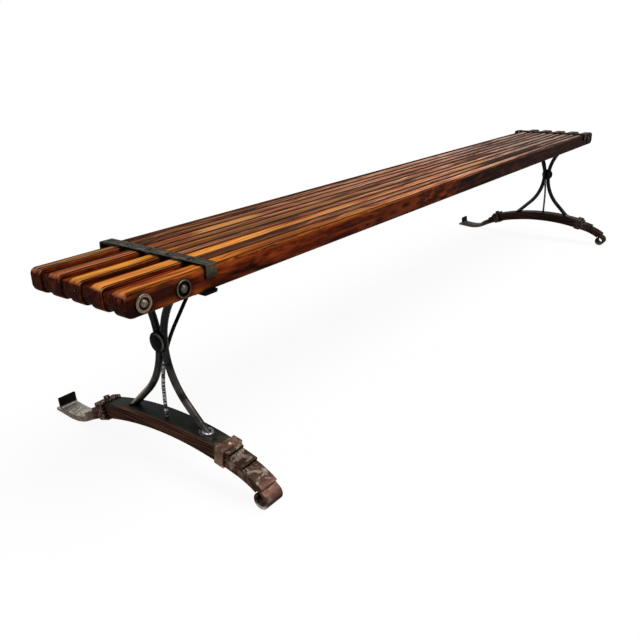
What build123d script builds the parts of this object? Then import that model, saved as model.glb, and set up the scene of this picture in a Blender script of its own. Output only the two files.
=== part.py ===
from build123d import *
from math import acos, atan2, cos, degrees, hypot, pi, radians, sin, sqrt, tan
import os

# A slatted bench on two feet made of upturned leaf springs. Millimetres, +Z up.
# X runs along the bench, from the near end (-X) to the far end (+X), and the front is -Y.
# The origin lies on the floor, in the middle of the footprint.

# ---- Seat ----
seat_length = 2580.0
seat_height = 465.0
board_count = 5
board_width = 34.0
board_depth = 48.0
board_arris = 3.0
edge_radius = 7.0
board_end_top_radius = 12.0
board_end_bottom_radius = 18.0
channel_width = 26.0
rear_strip_width = 14.0

# ---- Filler strips and blocks in the channels ----
filler_side_gap = 2.0
filler_fit = 0.2
filler_lift = 4.0
block_drop = 7.0
block_end_setback = 4.0
block_end_radius = 15.0
filler_arris = 1.2
pocket_length = 26.0
strip_clearance = 0.4

# ---- Cross rods: long round-headed bolts through the boards ----
cross_rod_diameter = 10.0
cross_rod_clearance = 0.4
cross_rod_depth = 25.0
near_cross_rods = (37.0, 127.0)
far_cross_rods = (62.0,)
cross_rod_protrusion = 3.0
cross_head_diameter = 17.0
cross_head_height = 6.0
cross_nut_width = 17.0
cross_nut_thickness = 8.0
cross_nut_clearance = 0.2
side_washer_diameter = 34.0
side_washer_thickness = 4.0
side_washer_edge = 0.8
washer_recess_diameter = 23.0
washer_recess_depth = 1.6

# ---- Straps over the boards and bars under them ----
near_strap_distance = 195.0
far_strap_distance = 122.0
strap_width = 28.0
strap_thickness = 5.0
strap_fold = 22.0
strap_side_fit = 0.3
strap_rear_slack = 10.0
strap_inner_bend = 1.0
strap_front_bend = 2.5
strap_rear_bend = 7.0
strap_tip_radius = 2.0
near_bar_distance = 193.0
bar_width = 36.0
bar_thickness = 7.0
near_bar_overhang = 2.0
far_bar_overhang = -20.0
rear_bar_overhang = 2.0
bar_edge_radius = 4.5
bar_end_radius = 2.0
strap_bolt_diameter = 10.0
strap_bolt_clearance = 0.3
strap_bolt_head_diameter = 16.0
strap_bolt_head_height = 2.5
strap_bolt_end = 3.0
strap_nut_width = 16.0
strap_nut_thickness = 8.0
strap_nut_clearance = 0.2
sleeve_diameter = 20.0

# ---- Leaf spring pack, one per leg ----
near_leg_distance = 183.0
far_leg_distance = 124.0
leaf_width = 45.0
leaf_thickness = 6.8
leaf_gap = 0.15
leaf_count = 5
crown_height = 78.0
crown_setback = 15.0
crown_radius = 780.0
front_bend_start = 196.0
front_bend_radius = 180.0
back_bend_start = 192.0
back_bend_radius = 400.0
back_bend_length = 102.0
tail_rise = 5.0
tail_straight = 53.0
eye_bore_radius = 11.5
eye_roll = 292.0
eye_gap = 1.2
lip_offset = 26.0
lip_bend_radius = 8.0
lip_turn = 79.0
lip_straight = 18.0
second_leaf_front = 257.0
second_leaf_back = 300.0
third_leaf_front = 206.0
third_leaf_back = 262.0
top_leaf_front = 170.0
top_leaf_back = 243.0

# ---- Clips around the spring pack ----
front_clip_width = 22.0
back_clip_width = 26.0
clip_thickness = 5.0
clip_fit = 0.35
clip_bottom_radius = 9.0
clip_top_radius = 2.5
front_clip_station = 151.0
back_clip_station = 223.0
clip_rivet_diameter = 13.0
clip_rivet_height = 3.5
clip_rivet_shank = 6.0
clip_bolt_width = 14.0
clip_bolt_head = 7.0
clip_bolt_shank = 8.0

# ---- Leg rods and brace ----
rod_diameter = 16.0
waist_height = 278.0
waist_gap = 1.0
rod_bow_radius = 172.0
rod_foot_splay = 46.0
rod_head_reach = 64.0
brace_diameter = 8.0
brace_setback = 8.0
brace_bow_radius = 217.0
brace_bend_height = 170.0
brace_splay = 39.0
brace_pad_length = 46.0
brace_pad_width = 26.0
brace_pad_thickness = 3.0
brace_pad_corner = 6.5
brace_screw_diameter = 5.0
brace_screw_head = 9.0
brace_screw_head_height = 3.0
brace_screw_length = 22.0
brace_screw_clearance = 0.2

# ---- Hub disc welded to both rods ----
hub_height = 283.0
hub_disc_diameter = 46.0
hub_disc_rim = 3.0
hub_disc_dome = 6.5
hub_dome_setback = 1.0
weld_gap = 0.2

# ---- Derived places ----
board_pitch = board_width + channel_width
board_stack = board_count * board_pitch - channel_width
seat_width = board_stack + filler_side_gap + rear_strip_width
board_bottom = seat_height - board_depth
strap_underside = board_bottom - bar_thickness
cross_rod_z = seat_height - cross_rod_depth
leaf_step = leaf_thickness + leaf_gap
pack_height = leaf_count * leaf_step - leaf_gap
near_leg_x = near_leg_distance - seat_length / 2
far_leg_x = seat_length / 2 - far_leg_distance
near_strap_x = near_strap_distance - seat_length / 2
far_strap_x = seat_length / 2 - far_strap_distance
near_bar_x = near_bar_distance - seat_length / 2


# ---- The spring line: the underside of the pack, walked from its crown ----

crown_floor = crown_height - crown_radius
front_bend_slope = front_bend_start / crown_radius
front_bend_centre = crown_floor + (crown_radius - front_bend_radius) * cos(front_bend_slope)
eye_outer_radius = eye_bore_radius + leaf_thickness
eye_swing = front_bend_radius + leaf_step - eye_bore_radius
eye_slope = acos((eye_outer_radius - front_bend_centre) / eye_swing)
eye_station = front_bend_start + front_bend_radius * (eye_slope - front_bend_slope)

hook_slope = back_bend_start / crown_radius + back_bend_length / back_bend_radius
hook_start = back_bend_start + back_bend_length


def walk(stretches, distance):
    """Y, Z and downward slope after a distance from the crown along stretches of (radius, length)."""
    y, z, slope = 0.0, crown_height, 0.0
    for radius, length in stretches:
        step = min(distance, length)
        if radius:
            turned = slope + step / radius
            y += radius * (sin(turned) - sin(slope))
            z += radius * (cos(turned) - cos(slope))
            slope = turned
        else:
            y += step * cos(slope)
            z -= step * sin(slope)
        distance -= step
        if distance <= 0:
            break
    return y, z, slope


front_stretches = [(crown_radius, front_bend_start), (front_bend_radius, eye_station)]
back_to_hook = [(crown_radius, back_bend_start), (back_bend_radius, back_bend_length)]
hook_radius = walk(back_to_hook, hook_start)[1] / (1 - cos(hook_slope))
hook_length = hook_radius * (hook_slope + radians(tail_rise))
tail_start = hook_start + hook_length
tail_end = tail_start + tail_straight
back_stretches = back_to_hook + [(-hook_radius, hook_length), (0.0, tail_straight)]
bend_stations = [-front_bend_start, 0.0, back_bend_start, hook_start, tail_start]


def on_spring(station, lift):
    """Y, Z of the point at a signed station along the spring line, raised square to it by lift."""
    side = 1 if station >= 0 else -1
    y, z, slope = walk(back_stretches if side > 0 else front_stretches, abs(station))
    return side * (y + lift * sin(slope)), z + lift * cos(slope)


def spring_slope(station):
    """Signed slope of the spring line: positive where it falls towards +Y."""
    if station >= 0:
        return walk(back_stretches, station)[2]
    return -walk(front_stretches, -station)[2]


eye_y, eye_z = on_spring(-eye_station, leaf_step - eye_bore_radius)
reach_front = crown_setback - eye_y + eye_outer_radius
reach_back = on_spring(tail_end, 0)[0] - crown_setback
seat_y = (reach_front - reach_back) / 2
crown_y = seat_y - crown_setback


def yz(point, x=0.0):
    """A point of the spring's own plane as a 3-D point of the bench."""
    return Vector(x, crown_y + point[0], point[1])


# ---- Small helpers ----

def save(shape, node):
    """Write one node to its STEP file."""
    export_step(shape, f"parts/{node}.step")


def group(solids):
    """Several separate solids as one node."""
    return Compound(children=list(solids))


def along_x(diameter, length, x, y, z):
    """A round bar along X that starts at x."""
    return Pos(x + length / 2, y, z) * Rot(0, 90, 0) * Cylinder(diameter / 2, length)


def along_y(diameter, length, x, y, z):
    """A round bar along Y that starts at y."""
    return Pos(x, y + length / 2, z) * Rot(90, 0, 0) * Cylinder(diameter / 2, length)


def along_z(diameter, length, x, y, z):
    """A round bar along Z that starts at z."""
    return Pos(x, y, z + length / 2) * Cylinder(diameter / 2, length)


def hex_prism(across_flats, thickness):
    """A six-sided prism on the XY plane."""
    return extrude(RegularPolygon(across_flats / 2, 6, major_radius=False), thickness)


def domed_head(diameter, height):
    """A low dome that stands on the XY plane."""
    sphere_radius = (diameter * diameter / 4 + height * height) / (2 * height)
    cap = Pos(0, 0, height - sphere_radius) * Sphere(sphere_radius)
    return cap & Pos(0, 0, height / 2) * Box(diameter + 1, diameter + 1, height)


# ---- Seat boards and fillers ----

def board_front(index):
    """Front face of a board, counted from the front."""
    return seat_y - seat_width / 2 + index * board_pitch


cross_rod_stations = [-seat_length / 2 + x for x in near_cross_rods]
cross_rod_stations += [seat_length / 2 - x for x in far_cross_rods]


def cross_rod_holes():
    """Bores for the cross rods, longer than the seat is wide."""
    bore = cross_rod_diameter + 2 * cross_rod_clearance
    start = seat_y - seat_width
    return [along_y(bore, 2 * seat_width, x, start, cross_rod_z) for x in cross_rod_stations]


def board(index):
    """A full-length board on edge with rounded ends and eased edges."""
    profile = Rectangle(seat_length, board_depth)
    top_corners = profile.vertices().group_by(Axis.Y)[-1]
    profile = fillet(top_corners, board_end_top_radius)
    bottom_corners = [v for v in profile.vertices() if v.Y < -board_depth / 2 + 0.01]
    profile = fillet(bottom_corners, board_end_bottom_radius)
    body = extrude(Plane.XZ * profile, -board_width)
    front_radius = edge_radius if index == 0 else board_arris
    rear_radius = edge_radius if index == board_count - 1 else board_arris
    body = fillet(body.faces().sort_by(Axis.Y)[0].edges(), front_radius)
    body = fillet(body.faces().sort_by(Axis.Y)[-1].edges(), rear_radius)
    body = Pos(0, board_front(index), seat_height - board_depth / 2) * body
    body -= cross_rod_holes()
    return body - brace_screw_bores() if index == board_count // 2 else body


def filler(start_x, end_x, front_y, width, top_z):
    """A filler between two boards, with eased top edges and bores where a cross rod passes."""
    bottom_z = board_bottom + filler_lift
    size = (end_x - start_x, width, top_z - bottom_z)
    body = Box(*size, align=(Align.MIN, Align.MIN, Align.MIN))
    body = chamfer(body.edges().filter_by(Axis.X).group_by(Axis.Z)[-1], filler_arris)
    body = Pos(start_x, front_y, bottom_z) * body
    crossed = [x for x in cross_rod_stations if start_x < x < end_x]
    return body - cross_rod_holes() if crossed else body


def channel_filler(index, start_x, end_x, drop):
    """A filler in the channel behind a board, close to the next board and clear of this one."""
    front_y = board_front(index) + board_width + filler_side_gap
    width = channel_width - filler_side_gap - filler_fit
    return filler(start_x, end_x, front_y, width, seat_height - drop)


strip_setback = strap_width / 2 + strip_clearance
block_setback = strap_width / 2 + pocket_length


def strips():
    """The flush fillers from strap to strap, and the thin strip behind the rear board."""
    start_x = near_strap_x + strip_setback
    end_x = far_strap_x - strip_setback
    for index in range(board_count - 1):
        save(channel_filler(index, start_x, end_x, 0), f"filler_strip_{index + 1}")
    rear_y = seat_y + seat_width / 2 - rear_strip_width
    rear = Box(end_x - start_x, rear_strip_width, board_depth, align=(Align.MIN,) * 3)
    rear = fillet(rear.edges().filter_by(Axis.X).group_by(Axis.Z)[-1].sort_by(Axis.Y)[-1], edge_radius)
    rear = fillet(rear.edges().filter_by(Axis.X).group_by(Axis.Z)[0].sort_by(Axis.Y)[-1], board_arris)
    rear = chamfer(rear.edges().filter_by(Axis.X).group_by(Axis.Y)[0], filler_arris)
    save(Pos(start_x, rear_y, board_bottom) * rear, "rear_edge_strip")


def end_blocks():
    """The lower fillers outside the straps, rounded under their outer ends as the boards are."""
    ends = {
        "near": (-seat_length / 2 + block_end_setback, near_strap_x - block_setback, 0),
        "far": (far_strap_x + block_setback, seat_length / 2 - block_end_setback, -1),
    }
    for end, (start_x, end_x, outer) in ends.items():
        for index in range(board_count - 1):
            block = channel_filler(index, start_x, end_x, block_drop)
            across = block.edges().filter_by(Axis.Y).group_by(Axis.X)[outer]
            block = fillet(across.sort_by(Axis.Z)[0], block_end_radius)
            save(block, f"{end}_end_filler_{index + 1}")


def dished_washer():
    """A washer on the XY plane with a round recess in its outer face."""
    disc = Pos(0, 0, side_washer_thickness / 2) * Cylinder(side_washer_diameter / 2, side_washer_thickness)
    disc = chamfer(disc.edges().group_by(Axis.Z)[-1], side_washer_edge)
    floor_z = side_washer_thickness - washer_recess_depth
    disc -= along_z(washer_recess_diameter, 2 * washer_recess_depth, 0, 0, floor_z)
    return disc - Cylinder(cross_rod_diameter / 2 + cross_rod_clearance, 3 * side_washer_thickness)


def cross_rods():
    """Long round-headed bolts across the seat, on dished washers, with a nut behind each."""
    front_y = board_front(0)
    rear_y = front_y + board_stack
    seat_depth = side_washer_thickness - washer_recess_depth
    head_y = front_y - seat_depth
    length = board_stack + 2 * seat_depth + cross_nut_thickness + cross_rod_protrusion
    rods, washers, nuts = [], [], []
    for x in cross_rod_stations:
        head = Rot(90, 0, 0) * domed_head(cross_head_diameter, cross_head_height)
        shank = along_y(cross_rod_diameter, length, x, head_y, cross_rod_z)
        rods.append(shank + Pos(x, head_y, cross_rod_z) * head)
        washers.append(Pos(x, front_y, cross_rod_z) * Rot(90, 0, 0) * dished_washer())
        washers.append(Pos(x, rear_y, cross_rod_z) * Rot(-90, 0, 0) * dished_washer())
        nut = hex_prism(cross_nut_width, cross_nut_thickness)
        nut -= Cylinder(cross_rod_diameter / 2 + cross_nut_clearance, 3 * cross_nut_thickness)
        nuts.append(Pos(x, rear_y + seat_depth, cross_rod_z) * Rot(-90, 0, 0) * nut)
    save(group(rods), "cross_rods")
    save(group(washers), "cross_rod_washers")
    save(group(nuts), "cross_rod_nuts")


# ---- Straps and their bolts ----

def strap_bolt_rows():
    """Y of each strap bolt: one per channel and one behind the rear board."""
    channel = [board_front(i) + board_width + channel_width / 2 for i in range(board_count - 1)]
    behind = board_front(0) + board_stack + filler_side_gap + rear_strip_width / 2
    return channel + [behind]


def strap_blank():
    """A flat strap across the seat, folded down tight at the front and looser at the rear."""
    front = seat_width / 2 + strap_side_fit
    rear = front + strap_rear_slack
    low, high = -strap_fold, strap_thickness
    outline = Polyline((-front - high, low), (-front - high, high), (rear + high, high), (rear + high, low),
                       (rear, low), (rear, 0), (-front, 0), (-front, low), close=True)
    section = make_face(outline)
    section = fillet([v for v in section.vertices() if abs(v.Y) < high / 2], strap_inner_bend)
    shoulders = section.vertices().group_by(Axis.Y)[-1].sort_by(Axis.X)
    section = fillet(shoulders[0], strap_front_bend)
    shoulders = section.vertices().group_by(Axis.Y)[-1].sort_by(Axis.X)
    section = fillet(shoulders[-1], strap_rear_bend)
    tips = section.vertices().group_by(Axis.Y)[0].sort_by(Axis.X)
    section = fillet([tips[0], tips[-1]], strap_tip_radius)
    return Pos(-strap_width / 2, 0, 0) * extrude(Plane.YZ * section, strap_width)


def bar_blank(front_overhang):
    """A flat bar across the seat with its top on the XY plane, rounded below."""
    length = front_overhang + seat_width + rear_bar_overhang
    bar = Box(bar_width, length, bar_thickness, align=(Align.CENTER, Align.MIN, Align.MAX))
    bar = fillet(bar.edges().filter_by(Axis.Y).group_by(Axis.Z)[0], bar_edge_radius)
    bar = fillet(bar.faces().sort_by(Axis.Y)[0].edges().group_by(Axis.Z)[0], bar_end_radius)
    return Pos(0, -seat_width / 2 - front_overhang, 0) * bar


def strap_bolt_bores(x, z, length):
    """Bores for the strap bolts through a strap or a bar."""
    bore = strap_bolt_diameter + 2 * strap_bolt_clearance
    return [along_z(bore, length, x, y, z) for y in strap_bolt_rows()]


def straps(end, x, bar_x, bar_overhang):
    """The strap over the boards and the bar under them."""
    strap = Pos(x, seat_y, seat_height) * strap_blank()
    strap -= strap_bolt_bores(x, seat_height - strap_thickness, 3 * strap_thickness)
    save(strap, f"{end}_top_strap")
    bar = Pos(bar_x, seat_y, board_bottom) * bar_blank(bar_overhang)
    bar -= strap_bolt_bores(x, board_bottom - 2 * bar_thickness, 3 * bar_thickness)
    save(bar, f"{end}_bottom_bar")


def strap_fasteners():
    """Strap bolts with their nuts, and the sleeves that keep the channels open."""
    top_z = seat_height + strap_thickness
    end_z = strap_underside - strap_nut_thickness - strap_bolt_end
    bolts, nuts, sleeves = [], [], []
    for x in (near_strap_x, far_strap_x):
        for row, y in enumerate(strap_bolt_rows()):
            shank = along_z(strap_bolt_diameter, top_z - end_z, x, y, end_z)
            head = Pos(x, y, top_z) * domed_head(strap_bolt_head_diameter, strap_bolt_head_height)
            bolts.append(shank + head)
            nut = hex_prism(strap_nut_width, strap_nut_thickness)
            nut -= Cylinder(strap_bolt_diameter / 2 + strap_nut_clearance, 3 * strap_nut_thickness)
            nuts.append(Pos(x, y, strap_underside - strap_nut_thickness) * nut)
            if row < board_count - 1:
                sleeve = along_z(sleeve_diameter, board_depth, x, y, board_bottom)
                sleeves.append(sleeve - strap_bolt_bores(x, board_bottom, board_depth)[row])
    save(group(bolts), "strap_bolts")
    save(group(nuts), "strap_bolt_nuts")
    save(group(sleeves), "strap_bolt_sleeves")


# ---- Leaf spring pack ----

def spring_run(start, end, lift):
    """Points and middles of the line at one lift over the spring line, from start to end."""
    stations = [start] + [s for s in bend_stations if start < s < end] + [end]
    spans = list(zip(stations[:-1], stations[1:]))
    return [(on_spring(a, lift), on_spring((a + b) / 2, lift), on_spring(b, lift)) for a, b in spans]


def run_edges(spans, x):
    """Edges through spans of (start, middle, end); a straight span becomes a line."""
    edges = []
    for first, middle, last in spans:
        chord_y, chord_z = last[0] - first[0], last[1] - first[1]
        bow = (middle[0] - first[0]) * chord_z - (middle[1] - first[1]) * chord_y
        if abs(bow) < 1e-6 * (chord_y * chord_y + chord_z * chord_z):
            edges.append(Line(yz(first, x), yz(last, x)))
        else:
            edges.append(ThreePointArc(yz(first, x), yz(middle, x), yz(last, x)))
    return edges


def leaf_solid(spans_below, spans_above, x):
    """A leaf between its lower and upper line, leaf_width wide along X."""
    left = x - leaf_width / 2
    below = run_edges(spans_below, left)
    above = run_edges(spans_above, left)
    front_end = Line(yz(spans_below[0][0], left), yz(spans_above[0][0], left))
    back_end = Line(yz(spans_below[-1][-1], left), yz(spans_above[-1][-1], left))
    outline = Wire(below + [back_end] + above + [front_end])
    return extrude(Face(outline), leaf_width, dir=(1, 0, 0))


def leaf(order, front, back, x):
    """A plain leaf: order counts up from the bottom leaf."""
    lift = order * leaf_step
    return leaf_solid(spring_run(-front, back, lift), spring_run(-front, back, lift + leaf_thickness), x)


def eye(x):
    """The rolled eye at the front of the master leaf, resting on the floor."""
    start = pi / 2 + eye_slope
    turn = radians(eye_roll)
    spans = {}
    for radius in (eye_bore_radius, eye_outer_radius):
        at = [(eye_y + radius * cos(start + turn * k / 2), eye_z + radius * sin(start + turn * k / 2))
              for k in range(3)]
        spans[radius] = [tuple(at)]
    return leaf_solid(spans[eye_bore_radius], spans[eye_outer_radius], x)


def lip(x):
    """The upturned hook at the rear of the master leaf."""
    root = tail_start + lip_offset
    inner, outer = lip_bend_radius, lip_bend_radius + leaf_thickness
    slope = spring_slope(root)
    centre_y, centre_z = on_spring(root, leaf_step + outer)
    turn = radians(lip_turn)
    spans_outer, spans_inner = [], []
    for radius, spans in ((outer, spans_outer), (inner, spans_inner)):
        at = [(centre_y - radius * sin(slope - turn * k / 2), centre_z - radius * cos(slope - turn * k / 2))
              for k in range(3)]
        rise = (cos(turn - slope) * lip_straight, sin(turn - slope) * lip_straight)
        top = (at[2][0] + rise[0], at[2][1] + rise[1])
        middle = ((at[2][0] + top[0]) / 2, (at[2][1] + top[1]) / 2)
        spans += [tuple(at), (at[2], middle, top)]
    return leaf_solid(spans_outer, spans_inner, x)


def master_leaf(x):
    """The master leaf with its eye at the front and its hook at the rear."""
    plain = leaf(1, eye_station, tail_start + lip_offset, x)
    return plain + eye(x) + lip(x)


def spring_pack(end, x):
    """The five leaves of one foot, bottom leaf first."""
    bottom_front = eye_station - eye_outer_radius - eye_gap
    save(leaf(0, bottom_front, tail_end, x), f"{end}_bottom_leaf")
    save(master_leaf(x), f"{end}_master_leaf")
    save(leaf(2, second_leaf_front, second_leaf_back, x), f"{end}_second_leaf")
    save(leaf(3, third_leaf_front, third_leaf_back, x), f"{end}_third_leaf")
    save(leaf(4, top_leaf_front, top_leaf_back, x), f"{end}_top_leaf")


# ---- Clips around the pack ----

def clip_place(station, x, lift):
    """Location on the pack at a station, with local Y along the spring and Z square to it."""
    return Pos(yz(on_spring(station, lift), x)) * Rot(-degrees(spring_slope(station)), 0, 0)


def clip(station, x, width, bore_diameter):
    """A closed band around the pack, rounded below and bored on top for its rivet or bolt."""
    inner_width = leaf_width + 2 * clip_fit
    outer_width = inner_width + 2 * clip_thickness
    low = -clip_fit - clip_thickness
    high = pack_height + clip_fit + clip_thickness
    section = Pos(0, (low + high) / 2) * Rectangle(outer_width, high - low)
    section = fillet([v for v in section.vertices() if v.Y > 0], clip_top_radius)
    section = fillet([v for v in section.vertices() if v.Y < low + 0.01], clip_bottom_radius)
    section -= Pos(0, pack_height / 2) * Rectangle(inner_width, pack_height + 2 * clip_fit)
    band = Pos(0, width / 2, 0) * extrude(Plane.XZ * section, width)
    band -= along_z(bore_diameter + 2 * clip_fit, 2 * clip_thickness, 0, 0, high - 1.5 * clip_thickness)
    return clip_place(station, x, 0) * band


def headed_pin(station, x, head, shank_diameter):
    """A rivet or bolt whose shank fills the clip's top and whose head stands on it."""
    shank = along_z(shank_diameter, clip_thickness, 0, 0, -clip_thickness)
    lift = pack_height + clip_fit + clip_thickness
    return clip_place(station, x, lift) * (shank + head)


def clips():
    """Both clips of each foot, with the rivet on the front one and the bolt on the rear one."""
    rivets, bolts = [], []
    dome = domed_head(clip_rivet_diameter, clip_rivet_height)
    hexagon = hex_prism(clip_bolt_width, clip_bolt_head)
    for end, x in (("near", near_leg_x), ("far", far_leg_x)):
        front = clip(-front_clip_station, x, front_clip_width, clip_rivet_shank)
        save(front, f"{end}_front_clip")
        back = clip(back_clip_station, x, back_clip_width, clip_bolt_shank)
        save(back, f"{end}_back_clip")
        rivets.append(headed_pin(-front_clip_station, x, dome, clip_rivet_shank))
        bolts.append(headed_pin(back_clip_station, x, hexagon, clip_bolt_shank))
    save(group(rivets), "clip_rivets")
    save(group(bolts), "clip_bolts")


# ---- Leg rods, brace and hub ----

def pack_top_cutter(x):
    """A round body that fills everything under the top face of the top leaf."""
    radius = crown_radius + pack_height + weld_gap
    return along_x(2 * radius, 2 * leaf_width, x - leaf_width, crown_y, crown_floor)


def round_bar(path, diameter, start, direction):
    """A bar of round section along a path."""
    section = Plane(origin=start, z_dir=direction) * Circle(diameter / 2)
    return sweep(section, path=path)


def head_splay():
    """Slope of a rod's upper run, from plumb, that brings its head to rod_head_reach at the bar."""
    rise = strap_underside - waist_height
    inner = rod_bow_radius - rod_head_reach + (rod_diameter + waist_gap) / 2
    return atan2(rise, inner) - acos(rod_bow_radius / hypot(rise, inner))


def main_rod(side, x):
    """A bowed rod from the spring pack past the waist to the bar under the seat; side -1 is the front."""
    foot_splay, top_splay = radians(rod_foot_splay), head_splay()
    waist_offset = (rod_diameter + waist_gap) / 2
    low_offset = waist_offset + rod_bow_radius * (1 - cos(foot_splay))
    high_offset = waist_offset + rod_bow_radius * (1 - cos(top_splay))
    low_z = waist_height - rod_bow_radius * sin(foot_splay)
    high_z = waist_height + rod_bow_radius * sin(top_splay)
    head_z = strap_underside + rod_diameter

    def at(offset, z):
        return Vector(x, seat_y + side * offset, z)

    foot = at(low_offset + low_z * tan(foot_splay), 0)
    low = at(low_offset, low_z)
    high = at(high_offset, high_z)
    head = at(high_offset + (head_z - high_z) * tan(top_splay), head_z)
    bow = ThreePointArc(low, at(waist_offset, waist_height), high)
    bar = round_bar(Wire([Line(foot, low), bow, Line(high, head)]), rod_diameter, foot, low - foot)
    above = Pos(x, seat_y, head_z + rod_diameter) * Box(4 * rod_diameter, 2 * seat_width, 4 * rod_diameter)
    return bar - pack_top_cutter(x) - above


def brace_offset(z):
    """How far inboard of the leg's plane the brace lies at a height within its bow."""
    rise = z - brace_bend_height
    return brace_bow_radius - sqrt(brace_bow_radius * brace_bow_radius - rise * rise) - brace_setback


brace_bow_top = brace_bend_height + brace_bow_radius * sin(radians(brace_splay))
brace_pad_z = board_bottom - brace_pad_thickness
brace_landing = brace_offset(brace_bow_top) + (board_bottom - brace_bow_top) * tan(radians(brace_splay))


def brace_screw_places():
    """X and Y of the screw beside each brace, under the middle board."""
    y = board_front(board_count // 2) + board_width / 2
    reach = brace_landing + brace_pad_length / 2
    return [(near_leg_x + reach, y), (far_leg_x - reach, y)]


def brace_screw_bores():
    """Bores in the middle board and the pads for the brace screws."""
    bore = brace_screw_diameter + 2 * brace_screw_clearance
    start = brace_pad_z - brace_pad_thickness
    length = brace_screw_length + 2 * brace_pad_thickness
    return [along_z(bore, length, x, y, start) for x, y in brace_screw_places()]


def brace(way, x):
    """The thin brace from the pack up and inboard to a pad under the middle board."""
    bow_middle = brace_bend_height + brace_bow_radius * sin(radians(brace_splay / 2))

    def at(offset, z):
        return Vector(x + way * offset, seat_y, z)

    foot = at(-brace_setback, crown_height)
    bend = at(-brace_setback, brace_bend_height)
    bow_top = at(brace_offset(brace_bow_top), brace_bow_top)
    bow = ThreePointArc(bend, at(brace_offset(bow_middle), bow_middle), bow_top)
    end = at(brace_landing + brace_diameter * tan(radians(brace_splay)), board_bottom + brace_diameter)
    bar = round_bar(Wire([Line(foot, bend), bow, Line(bow_top, end)]), brace_diameter, foot, bend - foot)
    above = Pos(end.X, seat_y, board_bottom + 2 * brace_diameter) * Box(*(4 * brace_diameter,) * 3)
    pad_outline = RectangleRounded(brace_pad_length, brace_pad_width, brace_pad_corner)
    pad = extrude(pad_outline, brace_pad_thickness)
    pad_y = board_front(board_count // 2) + board_width / 2
    pad = Pos(x + way * (brace_landing + brace_pad_length / 4), pad_y, brace_pad_z) * pad
    return bar - pack_top_cutter(x) - above + (pad - brace_screw_bores())


def brace_screws():
    """Round-headed screws up through the pads into the middle board."""
    screws = []
    for x, y in brace_screw_places():
        shank = along_z(brace_screw_diameter, brace_screw_length, x, y, brace_pad_z)
        head = Rot(180, 0, 0) * domed_head(brace_screw_head, brace_screw_head_height)
        screws.append(shank + Pos(x, y, brace_pad_z) * head)
    save(group(screws), "brace_screws")


def hub_disc(way, x):
    """The domed disc welded to the outboard side of both rods."""
    rim = extrude(Circle(hub_disc_diameter / 2), hub_disc_rim)
    dome_diameter = hub_disc_diameter - 2 * hub_dome_setback
    dome = Pos(0, 0, hub_disc_rim) * domed_head(dome_diameter, hub_disc_dome - hub_disc_rim)
    face_x = x - way * rod_diameter / 2
    return Pos(face_x, seat_y, hub_height) * Rot(0, -90 * way, 0) * (rim + dome)


def legs():
    """Rods, brace and hub disc of both legs; the far leg mirrors the near one."""
    for end, way, x in (("near", 1, near_leg_x), ("far", -1, far_leg_x)):
        save(main_rod(-1, x), f"{end}_front_rod")
        save(main_rod(1, x), f"{end}_rear_rod")
        save(brace(way, x), f"{end}_brace_rod")
        save(hub_disc(way, x), f"{end}_hub_disc")
    brace_screws()


os.makedirs("parts", exist_ok=True)
for board_index in range(board_count):
    save(board(board_index), f"seat_board_{board_index + 1}")
strips()
end_blocks()
cross_rods()
straps("near", near_strap_x, near_bar_x, near_bar_overhang)
straps("far", far_strap_x, far_strap_x, far_bar_overhang)
spring_pack("near", near_leg_x)
spring_pack("far", far_leg_x)
strap_fasteners()
clips()
legs()
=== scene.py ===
import math
import random
import bmesh
import bpy
from mathutils import Matrix, Vector


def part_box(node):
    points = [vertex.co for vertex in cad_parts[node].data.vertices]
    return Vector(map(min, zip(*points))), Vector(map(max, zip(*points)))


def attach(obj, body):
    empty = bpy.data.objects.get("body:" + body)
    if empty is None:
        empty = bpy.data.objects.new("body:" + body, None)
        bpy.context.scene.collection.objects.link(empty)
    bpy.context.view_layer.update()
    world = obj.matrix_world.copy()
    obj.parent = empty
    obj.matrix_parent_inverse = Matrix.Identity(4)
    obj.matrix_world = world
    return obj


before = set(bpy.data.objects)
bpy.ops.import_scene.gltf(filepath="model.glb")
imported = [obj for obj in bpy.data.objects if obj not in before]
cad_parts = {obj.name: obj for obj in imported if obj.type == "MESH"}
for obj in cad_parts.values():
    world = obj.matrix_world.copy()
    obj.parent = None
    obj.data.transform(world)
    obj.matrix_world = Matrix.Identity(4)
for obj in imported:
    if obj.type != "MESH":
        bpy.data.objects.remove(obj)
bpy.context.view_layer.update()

# ---- Places on the bench, in metres ----
FRONT_Y = -0.20166
BOARD_PITCH, BOARD_WIDTH, CHANNEL = 0.060, 0.034, 0.026
BOLT_Z = 0.440
NEAR_BOLTS, FAR_BOLT = (-1.253, -1.163), 1.228
NEAR_LEG_X = -1.107
HUB_LOW, HUB_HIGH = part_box("near_hub_disc")
HUB_Y, HUB_Z = (HUB_LOW[1] + HUB_HIGH[1]) / 2, 0.283
HUB_R = (HUB_HIGH[2] - HUB_LOW[2]) / 2

# ---- Camera: the photograph's own angle, solved from the board edges, straps and springs ----
CAMERA_AT = Vector((-1.9311, -1.07896, 0.8311))
CAMERA_AZIMUTH = -0.928186
CAMERA_ELEVATION = 0.380333
CAMERA_ROLL = -0.018401
CAMERA_LENS, CAMERA_SENSOR = 38.192, 36.0
CAMERA_CLIP = (0.05, 60.0)


def add_object(name, data):
    thing = bpy.data.objects.new(name, data)
    bpy.context.scene.collection.objects.link(thing)
    return thing


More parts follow.
